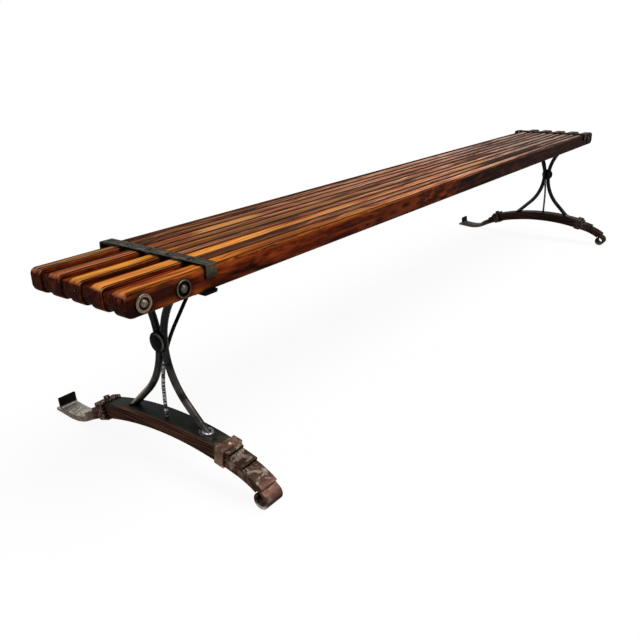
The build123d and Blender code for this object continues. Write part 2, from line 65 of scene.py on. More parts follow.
def make_camera():
    azimuth, elevation = CAMERA_AZIMUTH, CAMERA_ELEVATION
    back = Vector((math.sin(azimuth) * math.cos(elevation), -math.cos(azimuth) * math.cos(elevation),
                   math.sin(elevation)))
    level = Vector((math.cos(azimuth), math.sin(azimuth), 0.0))
    upright = back.cross(level)
    right = math.cos(CAMERA_ROLL) * level + math.sin(CAMERA_ROLL) * upright
    up = math.cos(CAMERA_ROLL) * upright - math.sin(CAMERA_ROLL) * level
    data = bpy.data.cameras.new("camera")
    data.lens = CAMERA_LENS
    data.sensor_width = CAMERA_SENSOR
    data.clip_start, data.clip_end = CAMERA_CLIP
    camera = add_object("camera", data)
    camera.matrix_world = Matrix((
        (right.x, up.x, back.x, CAMERA_AT.x),
        (right.y, up.y, back.y, CAMERA_AT.y),
        (right.z, up.z, back.z, CAMERA_AT.z),
        (0.0, 0.0, 0.0, 1.0)))
    bpy.context.scene.camera = camera


# ---- Node helpers ----
def paint(*levels):
    """A palette colour, written 0 to 255 as a screen shows it, turned into the shader's linear scale."""
    shares = [level / 255 for level in levels]
    return tuple(s / 12.92 if s <= 0.04045 else ((s + 0.055) / 1.055) ** 2.4 for s in shares)


class Nodes:
    """A material's node tree, with short calls that add and link nodes.

    A mask is a value that is 1 where something applies and 0 elsewhere.
    """

    def __init__(self, name):
        self.material = bpy.data.materials.new(name)
        self.material.use_nodes = True
        self.tree = self.material.node_tree
        self.shader = self.tree.nodes["Principled BSDF"]
        self.coords = self.tree.nodes.new("ShaderNodeTexCoord")
        self.x, self.y, self.z = self.split("Object")
        self.nx, self.ny, self.nz = self.split("Normal")
        self.base = self.coords.outputs["Object"]

    def split(self, which):
        parts = self.add("ShaderNodeSeparateXYZ", Vector=self.coords.outputs[which]).outputs
        return parts["X"], parts["Y"], parts["Z"]

    def add(self, kind, **inputs):
        node = self.tree.nodes.new(kind)
        for key, value in inputs.items():
            self.put(node.inputs[key], value)
        return node

    def put(self, socket, value):
        if isinstance(value, bpy.types.NodeSocket):
            self.tree.links.new(value, socket)
        else:
            socket.default_value = value

    # Arithmetic
    def math(self, kind, a, b=0.0):
        node = self.add("ShaderNodeMath")
        node.operation = kind
        self.put(node.inputs[0], a)
        self.put(node.inputs[1], b)
        return node.outputs["Value"]

    def plus(self, a, b):
        return self.math("ADD", a, b)

    def minus(self, a, b):
        return self.math("SUBTRACT", a, b)

    def times(self, a, *others):
        for b in others:
            a = self.math("MULTIPLY", a, b)
        return a

    def size(self, a):
        return self.math("ABSOLUTE", a)

    def far_from(self, value, centre):
        return self.size(self.minus(value, centre))

    def radius(self, a, b):
        return self.math("SQRT", self.plus(self.times(a, a), self.times(b, b)))

    def steps(self, value, low, high):
        """0 below low, 1 above high and straight between; it falls instead where low is above high."""
        node = self.add("ShaderNodeMapRange", Value=value)
        node.inputs["From Min"].default_value = low
        node.inputs["From Max"].default_value = high
        return node.outputs["Result"]

    # Masks by the surface's direction
    def sides(self, normal, low, high):
        """The faces that look along an axis, either way."""
        return self.steps(self.size(normal), low, high)

    def arrises(self, low, high):
        """The rounded edges: there no axis takes most of the normal."""
        largest = self.math("MAXIMUM", self.size(self.ny), self.size(self.nz))
        return self.steps(self.math("MAXIMUM", self.size(self.nx), largest), low, high)

    # Patterns
    def place(self, scale, offset):
        return self.add("ShaderNodeMapping", Vector=self.base, Scale=scale, Location=offset).outputs["Vector"]

    def noise(self, scale, offset=(0.0, 0.0, 0.0), detail=4.0, roughness=0.55, distortion=0.0):
        node = self.add("ShaderNodeTexNoise", Vector=self.place(scale, offset), Scale=1.0, Detail=detail,
                        Roughness=roughness, Distortion=distortion)
        return node.outputs["Fac"]

    def grain(self, along, across, *rest, **more):
        """Noise with its own scale along X."""
        return self.noise((along, across, across), *rest, **more)

    def specks(self, scale, size, share, offset):
        """Small round spots: one in each cell of a Voronoi pattern, kept in a share of the cells."""
        cell = self.add("ShaderNodeTexVoronoi", Vector=self.place(scale, offset), Scale=1.0)
        spot = self.steps(cell.outputs["Distance"], size, size * 0.6)
        pick = self.add("ShaderNodeSeparateColor", Color=cell.outputs["Color"]).outputs["Red"]
        return self.times(spot, self.steps(pick, share, share - 0.02))

    # Colours
    def ramp(self, value, stops):
        node = self.add("ShaderNodeValToRGB", Fac=value)
        points = node.color_ramp.elements
        while len(points) < len(stops):
            points.new(0.5)
        for point, (at, color) in zip(points, stops):
            point.position = at
            point.color = (*color, 1.0)
        return node.outputs["Color"]

    def mix(self, share, a, b):
        node = self.add("ShaderNodeMix")
        node.data_type = "RGBA"
        self.put(node.inputs[0], share)
        for index, value in ((6, a), (7, b)):
            if not isinstance(value, bpy.types.NodeSocket):
                value = (*value, 1.0)
            self.put(node.inputs[index], value)
        return node.outputs[2]

    def over(self, tone, color, *masks):
        """The tone with a colour laid over it where every mask lets it; a plain number is its strength."""
        return self.mix(self.times(*masks), tone, color)

    # The shader
    def bump(self, height, strength, distance):
        node = self.add("ShaderNodeBump", Height=height, Strength=strength, Distance=distance)
        self.put(self.shader.inputs["Normal"], node.outputs["Normal"])

    def finish(self, color, roughness, metallic=0.0, specular=0.0, tint=1.0):
        self.put(self.shader.inputs["Base Color"], color)
        self.put(self.shader.inputs["Roughness"], roughness)
        self.shader.inputs["Metallic"].default_value = metallic
        self.shader.inputs["Specular IOR Level"].default_value = specular
        self.shader.inputs["Specular Tint"].default_value = (tint, tint, tint, 1.0)
        return self.material


# ---- Wood ----
# Each set runs from the grain's dark lines over its body to its light streaks.
ORANGE = (paint(84, 28, 6), paint(184, 88, 22), paint(232, 140, 48))
LIGHT_ORANGE = (paint(126, 50, 12), paint(222, 130, 46), paint(250, 184, 92))
GOLDEN = (paint(84, 34, 8), paint(182, 104, 26), paint(222, 148, 52))
BROWN = (paint(36, 11, 4), paint(132, 62, 26), paint(182, 106, 58))
TAN = (paint(46, 18, 7), paint(132, 78, 36), paint(186, 128, 72))
MAROON = (paint(28, 5, 3), paint(84, 24, 8), paint(138, 54, 20))
STRIP = (paint(66, 30, 16), paint(128, 72, 40), paint(176, 114, 68))
# The middle and far tones of the tops are painted sheen, the pale surroundings reflected at a grazing angle;
# the far one lies over darker brown wood.
MID_TOPS_SHEEN = (paint(112, 60, 42), paint(204, 136, 108), paint(244, 188, 152))
FAR_TOPS_SHEEN = (paint(58, 38, 31), paint(142, 108, 95), paint(190, 158, 142))
SIDES = (paint(30, 7, 2), paint(100, 33, 10), paint(158, 66, 22))
FAR_SIDES = (paint(14, 4, 1), paint(42, 14, 5), paint(82, 38, 15))
ENDS = (paint(28, 8, 3), paint(82, 29, 9), paint(150, 66, 24))
TONE_STOPS = (0.12, 0.5, 0.9)

GRAIN_ACROSS = 95.0
GRAIN_WANDER = 0.05
WOOD_GLOSS = 0.34
COAT_WEIGHT, COAT_ROUGHNESS = 0.06, 0.2
WOOD_BUMP, WOOD_BUMP_DEPTH = 0.4, 0.0007

# Where the wood's tones change, in metres. Each pair runs from where a change starts to where it is full,
# and a reach is counted from a place, inwards.
# The first two pairs: where the painted sheen on the tops starts and where it is full.
MID_SHEEN_X, FAR_SHEEN_X, FAR_SIDES_X = (-0.45, 0.6), (0.35, 1.05), (-0.9, -0.05)
NEAR_HALF_X = (0.5, -0.5)
# The first pair on the next line darkens the sides at the near end: painted shade on the rounded corners
# between the board ends.
NEAR_END_SHADE_X, FAR_END_DARK_X, FAR_SIDE_DARK_X = (-1.262, -1.28), (1.18, 1.21), (1.19, 1.22)
# The next pair darkens the lower part of the end faces: painted shade.
END_SHADE_Z = (0.450, 0.430)
JOINT_INSET, JOINT_GROWS_X, JOINT_GROWTH = (0.0058, 0.0040), (-0.9, 0.7), 0.0022

# On the front board's outer side: the knots (x, z, size), then the places of its other marks.
KNOTS = ((-0.56, 0.429, 0.007), (-0.43, 0.437, 0.011), (-0.37, 0.444, 0.012))
RED_END_X = (-1.16, -1.21)
# The next pair places a painted highlight along the upper edge of the front side.
UPPER_HIGHLIGHT_Z, UPPER_HIGHLIGHT_X = (0.452, 0.460), (-0.2, -0.9)
MOTTLE_X, MOTTLE_REACH = -0.2, (0.16, 0.07)
LOWER_EDGE_Z, LOWER_EDGE_X, LOWER_EDGE_REACH = (0.436, 0.424), -1.17, (0.08, 0.04)
# The next two lines place painted shadow round the near bolts and between them.
BOLT_SHADOW_REACH = (0.042, 0.026)
SHADOW_BETWEEN_BOLTS, SHADOW_BETWEEN_REACH = (-1.208, 0.447), (0.040, 0.024)
OVER_BAR_X, OVER_BAR_REACH, OVER_BAR_Z = NEAR_LEG_X + 0.01, (0.022, 0.014), (0.428, 0.422)


def toned(three, gain):
    return tuple(tuple(gain * level for level in color) for color in three)


class Wood(Nodes):
    """Varnished wood with its grain along X. The seed makes each board's figure its own."""

    def __init__(self, name, seed):
        super().__init__(name)
        self.seed = seed
        wave = self.grain(5.0, 9.0, (seed, seed * 1.7, 0.0), 2.0)
        wander = self.times(self.minus(wave, 0.5), GRAIN_WANDER)
        self.base = self.add("ShaderNodeCombineXYZ", X=self.x, Y=self.plus(self.y, wander),
                             Z=self.z).outputs["Vector"]
        bands = self.grain(1.1, GRAIN_ACROSS * 0.5, (seed * 2.0, 0.0, seed), 3.0, 0.5, 1.0)
        self.streaks = self.grain(3.4, GRAIN_ACROSS, (seed, seed * 3.1, 0.0), 6.0, 0.62, 0.9)
        self.lines = self.grain(9.0, GRAIN_ACROSS * 3.6, (0.0, seed, seed), 3.0, 0.6, 0.4)
        body = self.plus(self.times(bands, 0.36),
                         self.plus(self.times(self.streaks, 0.54), self.times(self.lines, 0.10)))
        self.figure = self.steps(body, 0.42, 0.58)
        self.flames = self.grain(4.5, 62.0, (seed * 1.7, 0.0, seed), 4.0, 0.6, 1.4)
        self.blots = self.grain(6.0, 34.0, (seed, 0.0, 2.0), 5.0, 0.65, 0.8)
        self.near_half = self.steps(self.x, *NEAR_HALF_X)

    def tones(self, figure, three):
        return self.ramp(figure, list(zip(TONE_STOPS, three)))

    def top(self, near, mid_sheen_gain, far_sheen_gain, runs):
        """The board's own tones at the near end, which drift to brown and then grey-brown at the far end; the
        middle and far tones are painted sheen, the pale surroundings reflected at a grazing angle.
        """
        drift = self.noise((2.1, 0.0, 0.0), (self.seed * 5.0, self.seed, 0.0), 3.0, 0.6)
        mid = self.steps(self.plus(self.x, self.times(drift, 0.9)), *MID_SHEEN_X)
        far = self.steps(self.plus(self.x, self.times(drift, 0.7)), *FAR_SHEEN_X)
        tone = self.tones(self.figure, near)
        # Painted sheen on the middle and the far end of the tops.
        tone = self.over(tone, self.tones(self.figure, toned(MID_TOPS_SHEEN, mid_sheen_gain)), mid, 0.75)
        tone = self.over(tone, self.tones(self.figure, toned(FAR_TOPS_SHEEN, far_sheen_gain)), far, 0.92)
        tone = self.over(tone, paint(24, 10, 6), self.steps(drift, 0.5, 0.34), 0.3)
        tone = self.over(tone, paint(22, 15, 13), self.steps(self.x, *FAR_END_DARK_X), 0.45)
        dark_flames = self.plus(self.times(self.near_half, 0.35), 0.2)
        tone = self.over(tone, near[0], self.steps(self.flames, 0.43, 0.34), dark_flames)
        tone = self.over(tone, near[2], self.steps(self.flames, 0.6, 0.7), self.near_half, 0.4)
        for at_x, reach, share, color in runs:
            wavy_x = self.plus(self.x, self.times(self.streaks, 0.3))
            run = self.steps(self.far_from(wavy_x, at_x + 0.15), reach, reach * 0.6)
            tone = self.over(tone, color, run, share)
        return tone

    def side(self):
        """Darker sides, blotted, that darken towards the far end and at both ends of the bench; at the near
        end this is painted shade on the rounded corners between the board ends.
        """
        mottled = self.plus(self.times(self.figure, 0.5), self.times(self.steps(self.blots, 0.36, 0.66), 0.5))
        tone = self.over(self.tones(mottled, SIDES), self.tones(mottled, FAR_SIDES),
                         self.steps(self.x, *FAR_SIDES_X))
        dark_blots = self.plus(self.times(self.near_half, 0.35), 0.05)
        tone = self.over(tone, paint(24, 7, 4), self.steps(self.blots, 0.47, 0.36), dark_blots)
        # Painted shade on the sides' rounded corners between the near board ends.
        tone = self.over(tone, paint(28, 10, 5), self.steps(self.x, *NEAR_END_SHADE_X), 0.7)
        return self.over(tone, paint(14, 10, 9), self.steps(self.x, *FAR_SIDE_DARK_X), 0.6)

    def front_side(self):
        """The front board's outer side: knots, a painted highlight along its upper edge, a gold patch low
        down near its near end, dark wood at its near end, painted shadow round and between the near bolts,
        and a near-black patch just above the bar's end.
        """
        tone = self.side()
        warp = self.times(self.grain(42.0, 70.0, (self.seed, 0.0, 0.0), 5.0, 0.7), 2.4)
        for at_x, at_z, size in KNOTS:
            away = self.radius(self.times(self.far_from(self.x, at_x), 0.3 / size),
                               self.times(self.far_from(self.z, at_z), 1.0 / size))
            away = self.plus(away, warp)
            tone = self.over(tone, paint(132, 58, 18), self.steps(away, 3.4, 2.2), 0.5)
            tone = self.over(tone, paint(22, 6, 3), self.steps(away, 2.1, 1.5), 0.9)
        ragged_x = self.plus(self.x, self.times(self.blots, 0.1))
        tone = self.over(tone, paint(44, 9, 8), self.steps(ragged_x, *RED_END_X), 0.6)
        # Painted highlight along the upper edge.
        tone = self.over(tone, paint(176, 88, 30), self.steps(self.z, *UPPER_HIGHLIGHT_Z),
                         self.steps(self.x, *UPPER_HIGHLIGHT_X), self.steps(self.streaks, 0.36, 0.56), 0.7)
        mottle = self.steps(self.grain(20.0, 60.0, detail=5.0), 0.47, 0.58)
        tone = self.over(tone, paint(152, 62, 18), mottle,
                         self.steps(self.far_from(self.x, MOTTLE_X), *MOTTLE_REACH), 0.6)
        tone = self.over(tone, paint(200, 98, 30), self.steps(self.z, *LOWER_EDGE_Z),
                         self.steps(self.far_from(self.x, LOWER_EDGE_X), *LOWER_EDGE_REACH),
                         self.steps(self.blots, 0.32, 0.48), 0.52)
        ragged = self.times(self.blots, 0.02)
        # Painted shadow round each near bolt.
        for at_x in NEAR_BOLTS:
            away = self.radius(self.minus(self.x, at_x), self.minus(self.z, BOLT_Z))
            tone = self.over(tone, paint(26, 8, 6), self.steps(self.plus(away, ragged), *BOLT_SHADOW_REACH), 0.7)
        # Painted shadow between the two near bolts.
        away = self.radius(self.times(self.minus(self.x, SHADOW_BETWEEN_BOLTS[0]), 0.7),
                           self.minus(self.z, SHADOW_BETWEEN_BOLTS[1]))
        tone = self.over(tone, paint(36, 12, 6), self.steps(self.plus(away, ragged), *SHADOW_BETWEEN_REACH), 0.7)
        over_bar = self.steps(self.far_from(self.x, OVER_BAR_X), *OVER_BAR_REACH)
        return self.over(tone, paint(10, 8, 7), over_bar, self.steps(self.z, *OVER_BAR_Z), 0.9)

    def end(self):
        cut = self.noise((60.0, 120.0, 50.0), (self.seed, 0.0, self.seed), 6.0, 0.66, 1.4)
        tone = self.tones(self.steps(cut, 0.34, 0.7), ENDS)
        # Painted shade on the lower part of the end faces.
        return self.over(tone, paint(20, 9, 4), self.steps(self.z, *END_SHADE_Z), 0.6)

    def worn(self, tone, light, centre_y, half):
        """Painted highlights on the upper arrises, dark lines along the joints, painted glints on the rounded
        near ends, pits and dust.
        """
        # Painted highlight on the upper arrises, stronger in the near half.
        tone = self.over(tone, light, self.arrises(0.94, 0.8), self.steps(self.streaks, 0.38, 0.6),
                         self.steps(self.nz, 0.3, 0.5), self.plus(self.times(self.near_half, 0.4), 0.1))
        off = self.plus(self.far_from(self.y, centre_y),
                        self.times(self.steps(self.x, *JOINT_GROWS_X), JOINT_GROWTH))
        joint = self.steps(off, *(half - inset for inset in JOINT_INSET))
        tone = self.over(tone, paint(16, 6, 3), joint, self.steps(self.nz, 0.5, 0.9), 0.95)
        # Painted glints on the rounded upper edge of the near ends.
        tone = self.over(tone, paint(196, 124, 106), self.steps(self.nx, -0.3, -0.5),
                         self.steps(self.nz, 0.3, 0.5), self.steps(self.flames, 0.46, 0.54), 0.4)
        pits = self.specks((60.0, 260.0, 260.0), 0.16, 0.2, (self.seed, self.seed, 0.0))
        tone = self.over(tone, paint(24, 9, 5), pits, 0.7)
        dust = self.specks((70.0, 70.0, 70.0), 0.07, 0.1, (self.seed * 2.0, 0.0, self.seed))
        return self.over(tone, paint(244, 214, 206), dust)


def wood(name, near, seed, centre_y, half, mid_sheen_gain=0.9, far_sheen_gain=1.0, runs=(), front=False):
    """A board's material. Each run (x, reach, strength, colour) tints a stretch of its top."""
    n = Wood(name, seed)
    side = n.front_side() if front else n.side()
    tone = n.mix(n.sides(n.ny, 0.55, 0.8), n.top(near, mid_sheen_gain, far_sheen_gain, runs), side)
    tone = n.mix(n.sides(n.nx, 0.6, 0.85), tone, n.end())
    tone = n.worn(tone, near[2], centre_y, half)
    n.bump(n.plus(n.times(n.streaks, 0.6), n.lines), WOOD_BUMP, WOOD_BUMP_DEPTH)
    n.shader.inputs["Coat Weight"].default_value = COAT_WEIGHT
    n.shader.inputs["Coat Roughness"].default_value = COAT_ROUGHNESS
    return n.finish(tone, n.plus(n.times(n.lines, 0.3), WOOD_GLOSS))


# ---- Iron ----
BLACK, SOOT = paint(14, 14, 14), paint(30, 29, 29)
STEEL, SILVER = paint(112, 104, 98), paint(190, 186, 184)
RUST, DEEP_RUST = paint(92, 54, 36), paint(58, 30, 20)
IRON_METALLIC, IRON_SPECULAR = 0.85, 0.3
IRON_BUMP, IRON_BUMP_DEPTH = 0.45, 0.0012
FAR_DARK_X, FAR_DARK = (0.9, 1.1), 0.68

# Where the iron's looks change, in metres, as for the wood.
STRAP_FOLD_Z = (0.460, 0.448)
PLATE_DUST_Y = (-0.15, -0.2)
SPATTER_Y, SPATTER_REACH = -0.166, (0.023, 0.016)
LEAF_FRONT_Y, SECOND_LEAF_Y, EYE_CURL_Y = (-0.205, -0.235), (-0.252, -0.266), (-0.322, -0.330)
FEWER_PATCHES_Y = (-0.235, -0.275)
LEAF_TAIL_Y = (0.18, 0.24)
LIP_Y, LIP_Z = (0.268, 0.278), (0.010, 0.022)
EYE_FOOT_Y, EYE_FOOT_Z = (-0.30, -0.32), (0.014, 0.004)
BACK_CLIP_Y, FAR_CLIP_X = (0.0, 0.1), (0.0, 0.5)
ROD_SHEEN_Z, ROD_RUST_Z = (0.36, 0.24), (0.17, 0.10)
ROD_LIT_Y, ROD_LIT_Z = (-0.03, 0.0), (0.26, 0.20)
BRACE_BARE_Z = (0.27, 0.25)
# Each washer's x, the edge of its dark hollow of painted shade, the inner edge of its bright ring and the
# ring's colour.
WASHERS = ((NEAR_BOLTS[0], 0.0088, 0.0108, paint(138, 122, 102)),
           (NEAR_BOLTS[1], 0.0088, 0.0144, paint(104, 94, 80)),
           (FAR_BOLT, 0.0088, 0.0130, paint(96, 88, 76)))
WASHER_REACH, WASHER_RIM, BOLT_DOME = (0.021, 0.019), (0.0172, 0.0164), (0.0080, 0.0060)


def iron(name, dark, worn, rust=DEEP_RUST, wear=0.5, rusty=0.1, rough=0.42, grain=1.0, tint=0.25, edge=0.25,
         zones=None):
    """Old forged iron: dark scale with worn light patches, rust, worn edges and a hammered surface."""
    n = Nodes(name)
    n.coarse = n.noise((28.0 * grain,) * 3, (0.0, 0.0, 0.0), 5.0, 0.6, 0.4)
    n.fine = n.noise((230.0 * grain,) * 3, (3.1, 1.7, 0.4), 5.0, 0.65)
    tone = n.over(dark, worn, n.steps(n.fine, 0.62 - wear * 0.3, 0.78 - wear * 0.2),
                  n.steps(n.coarse, 0.3, 0.6))
    tone = n.over(tone, rust, n.steps(n.coarse, 0.68 - rusty * 0.4, 0.8 - rusty * 0.3),
                  n.steps(n.fine, 0.3, 0.62))
    if zones:
        tone = zones(n, tone)
    tone = n.over(tone, paint(12, 10, 9), n.steps(n.x, *FAR_DARK_X), FAR_DARK)
    tone = n.over(tone, worn, n.arrises(0.93, 0.8), n.steps(n.coarse, 0.4, 0.6), edge)
    n.bump(n.plus(n.coarse, n.times(n.fine, 0.45)), IRON_BUMP, IRON_BUMP_DEPTH)
    return n.finish(tone, n.plus(n.times(n.fine, 0.3), rough - 0.12), IRON_METALLIC, IRON_SPECULAR, tint)


def strap_zones(n, tone):
    """Brown grime and scratches, painted shade on the upright sides, and turned-down ends that darken towards
    the fold's end.
    """
    grime = n.noise((50.0, 50.0, 50.0), (4.0, 0.0, 0.0), 5.0, 0.7)
    tone = n.over(tone, paint(70, 58, 44), n.steps(grime, 0.5, 0.62), 0.6)
    # Painted shade: the upright sides are made near black.
    tone = n.over(tone, BLACK, n.sides(n.nx, 0.6, 0.85), 0.85)
    scratches = n.noise((120.0, 26.0, 120.0), (1.0, 2.0, 0.0), 5.0, 0.7, 0.5)
    tone = n.over(tone, paint(124, 112, 92), n.steps(scratches, 0.54, 0.62), 0.6)
    tone = n.over(tone, paint(18, 19, 17), n.steps(scratches, 0.44, 0.36), 0.7)
    down = n.sides(n.ny, 0.6, 0.85)
    tone = n.over(tone, paint(96, 86, 66), down, 0.3)
    return n.over(tone, paint(20, 19, 15), down, n.steps(n.z, *STRAP_FOLD_Z), 0.7)


def leaf_zones(n, tone):
    """Layered reddish edges, painted light and shade on their upper and lower rounding, patchy worn front
    ends, a grey tail, a black lip and silver under the eye.
    """
    layered = n.noise((30.0, 6.0, 420.0), (0.0, 0.0, 0.0), 4.0, 0.6, 0.2)
    edge = n.mix(n.steps(layered, 0.44, 0.66), paint(28, 17, 13), paint(104, 70, 54))
    tone = n.over(tone, edge, n.sides(n.nx, 0.3, 0.6), 0.85)
    # Painted light on the upper rounding of the edges and painted shade on the lower.
    rounded = n.sides(n.nx, 0.2, 0.4)
    tone = n.over(tone, paint(116, 84, 66), rounded, n.steps(n.nz, 0.2, 0.5))
    tone = n.over(tone, paint(12, 8, 7), rounded, n.steps(n.nz, -0.15, -0.45), 0.9)
    patches = n.plus(n.noise((34.0, 60.0, 34.0), (2.0, 5.0, 0.0), 5.0, 0.62, 1.2),
                     n.times(n.steps(n.y, *FEWER_PATCHES_Y), -0.09))
    pale = n.mix(n.steps(n.fine, 0.3, 0.6), paint(132, 108, 94), paint(206, 188, 174))
    second = n.steps(n.y, *SECOND_LEAF_Y)
    front = n.mix(second, paint(84, 62, 52), paint(62, 44, 36))
    front = n.over(front, pale, n.steps(patches, 0.42, 0.52), n.plus(n.times(second, -0.6), 1.0))
    front = n.over(front, paint(118, 80, 66), n.steps(n.y, *EYE_CURL_Y), n.steps(n.coarse, 0.42, 0.56), 0.6)
    ragged_y = n.plus(n.y, n.times(n.minus(n.coarse, 0.5), 0.06))
    tone = n.over(tone, front, n.steps(ragged_y, *LEAF_FRONT_Y), n.steps(n.nz, -0.2, 0.3), 0.85)
    tail = n.mix(n.steps(n.fine, 0.36, 0.6), paint(122, 114, 104), paint(226, 218, 206))
    tone = n.over(tone, tail, n.steps(ragged_y, *LEAF_TAIL_Y), n.steps(n.nz, -0.2, 0.4), 0.9)
    tone = n.over(tone, paint(18, 18, 15), n.steps(n.y, *LIP_Y), n.steps(n.z, *LIP_Z))
    return n.over(tone, SILVER, n.steps(n.z, *EYE_FOOT_Z), n.steps(n.y, *EYE_FOOT_Y),
                  n.steps(n.fine, 0.3, 0.55))


def plate_zones(n, tone):
    """The top leaf: as the others, with a dusty front and the bright spatter of the front rod's weld."""
    tone = leaf_zones(n, tone)
    tone = n.over(tone, paint(104, 98, 84), n.steps(n.y, *PLATE_DUST_Y), n.steps(n.coarse, 0.4, 0.6),
                  n.steps(n.nz, 0.5, 0.9), 0.5)
    away = n.radius(n.minus(n.x, NEAR_LEG_X), n.minus(n.y, SPATTER_Y))
    spatter = n.steps(n.plus(away, n.times(n.coarse, 0.012)), *SPATTER_REACH)
    return n.over(tone, paint(176, 180, 188), spatter, n.steps(n.fine, 0.36, 0.5))


def clip_zones(n, tone):
    """Worn brown tops at the front; painted shade on the upright sides, and nearly black clips at the back
    and on the far leg.
    """
    # Painted shade on the upright sides.
    tone = n.over(tone, paint(44, 28, 22), n.sides(n.nx, 0.5, 0.8), 0.5)
    tone = n.over(tone, paint(52, 36, 30), n.steps(n.coarse, 0.47, 0.4), 0.45)
    dull = n.math("MAXIMUM", n.steps(n.y, *BACK_CLIP_Y), n.times(n.steps(n.x, *FAR_CLIP_X), 0.8))
    return n.over(tone, paint(26, 20, 17), dull, n.steps(n.fine, 0.62, 0.46))


def hub_zones(n, tone):
    """A faint light ring round the dome of each hub, with a painted highlight on it at the front and above.
    """
    away = n.radius(n.minus(n.y, HUB_Y), n.minus(n.z, HUB_Z))
    ring = n.times(n.steps(away, HUB_R * 0.66, HUB_R * 0.74), n.steps(away, HUB_R * 0.92, HUB_R * 0.84))
    # Painted highlight: the ring is lightest at the front and above.
    toward = n.minus(n.times(n.z, 0.6), n.y)
    middle = HUB_Z * 0.6 - HUB_Y
    front = n.steps(toward, middle - 0.004, middle + 0.016)
    return n.over(tone, STEEL, ring, n.plus(n.times(front, 0.5), 0.03), n.steps(n.coarse, 0.3, 0.5))


def rod_zones(n, tone):
    """Black above the hub; below it patches of painted grey sheen, a painted highlight on top of the rear
    rods near their feet, and rust at the feet.
    """
    # Painted grey sheen in patches on the rods below the hub.
    low = n.steps(n.plus(n.z, n.times(n.coarse, 0.12)), *ROD_SHEEN_Z)
    tone = n.over(tone, paint(90, 84, 80), low, n.steps(n.coarse, 0.4, 0.62), 0.45)
    # Painted highlight on top of the rear rods near their feet.
    tone = n.over(tone, paint(172, 160, 148), n.steps(n.y, *ROD_LIT_Y), n.steps(n.nz, 0.0, 0.4),
                  n.steps(n.z, *ROD_LIT_Z), 0.7)
    return n.over(tone, RUST, n.steps(n.z, *ROD_RUST_Z), n.steps(n.coarse, 0.5, 0.6), 0.3)


def brace_zones(n, tone):
    """The twisted lower half of the thin brace is bare and silvery."""
    turns = n.noise((60.0, 60.0, 260.0), (0.0, 0.0, 0.0), 3.0, 0.6, 0.6)
    bare = n.mix(n.steps(turns, 0.44, 0.6), paint(40, 38, 38), SILVER)
    return n.over(tone, bare, n.steps(n.z, *BRACE_BARE_Z), 0.9)


def washer_zones(n, tone):
    """Bright rings and bolt heads on the dished washers, with painted shade in the dark hollow between the
    two.
    """
    for at_x, hollow_shade_edge, ring_edge, color in WASHERS:
        here = n.steps(n.far_from(n.x, at_x), *WASHER_REACH)
        away = n.radius(n.minus(n.x, at_x), n.minus(n.z, BOLT_Z))
        tone = n.over(tone, color, here, n.steps(away, ring_edge, ring_edge + 0.0008),
                      n.steps(away, *WASHER_RIM), n.steps(n.fine, 0.3, 0.6))
        # Painted shade in the hollow between the bolt head and the bright ring.
        tone = n.over(tone, paint(12, 10, 9), here, n.steps(away, hollow_shade_edge - 0.0006, hollow_shade_edge),
                      n.steps(away, ring_edge + 0.0006, ring_edge - 0.0002))
        tone = n.over(tone, color, here, n.steps(away, *BOLT_DOME), n.steps(n.fine, 0.4, 0.6))
    return tone


# ---- Materials on the carried-over nodes ----
BRIGHT, GOLD, DIM = paint(236, 148, 62), paint(206, 146, 80), paint(84, 42, 20)
# Name, tones, seed, gain of the middle and the far tones, which are painted sheen, and runs (x, reach,
# strength, colour).
BOARDS = (
    ("board_orange", ORANGE, 1.3, 1.0, 0.75, ((-0.72, 0.36, 0.5, DIM),)),
    ("board_light", LIGHT_ORANGE, 5.9, 0.95, 0.8,
     ((-1.12, 0.3, 0.55, BRIGHT), (-0.5, 0.4, 0.4, paint(150, 84, 44)), (0.17, 0.14, 0.5, GOLD))),
    ("board_golden", GOLDEN, 8.2, 0.85, 0.9, ((-0.58, 0.52, 0.65, paint(112, 74, 42)),)),
    ("board_brown", BROWN, 11.9, 0.95, 1.0, ((-0.6, 0.3, 0.3, DIM), (-0.84, 0.12, 0.7, GOLD))),
    ("board_tan", TAN, 15.4, 0.85, 1.1, ()))
STRIP_MID_SHEEN_GAIN = 0.92
STRIP_SEEDS, BLOCK_SEEDS, REAR_SEED = (21.0, 24.3, 27.6, 30.9), (37.0, 39.9, 42.8, 45.7), 61.0
# A centre far behind the rear strip and a half width: all of its narrow top is then a dark joint line.
ALL_JOINT = (0.5, 0.1)
FIRST_STRIP_RUNS = ((0.44, 0.34, 0.9, paint(14, 7, 4)),)

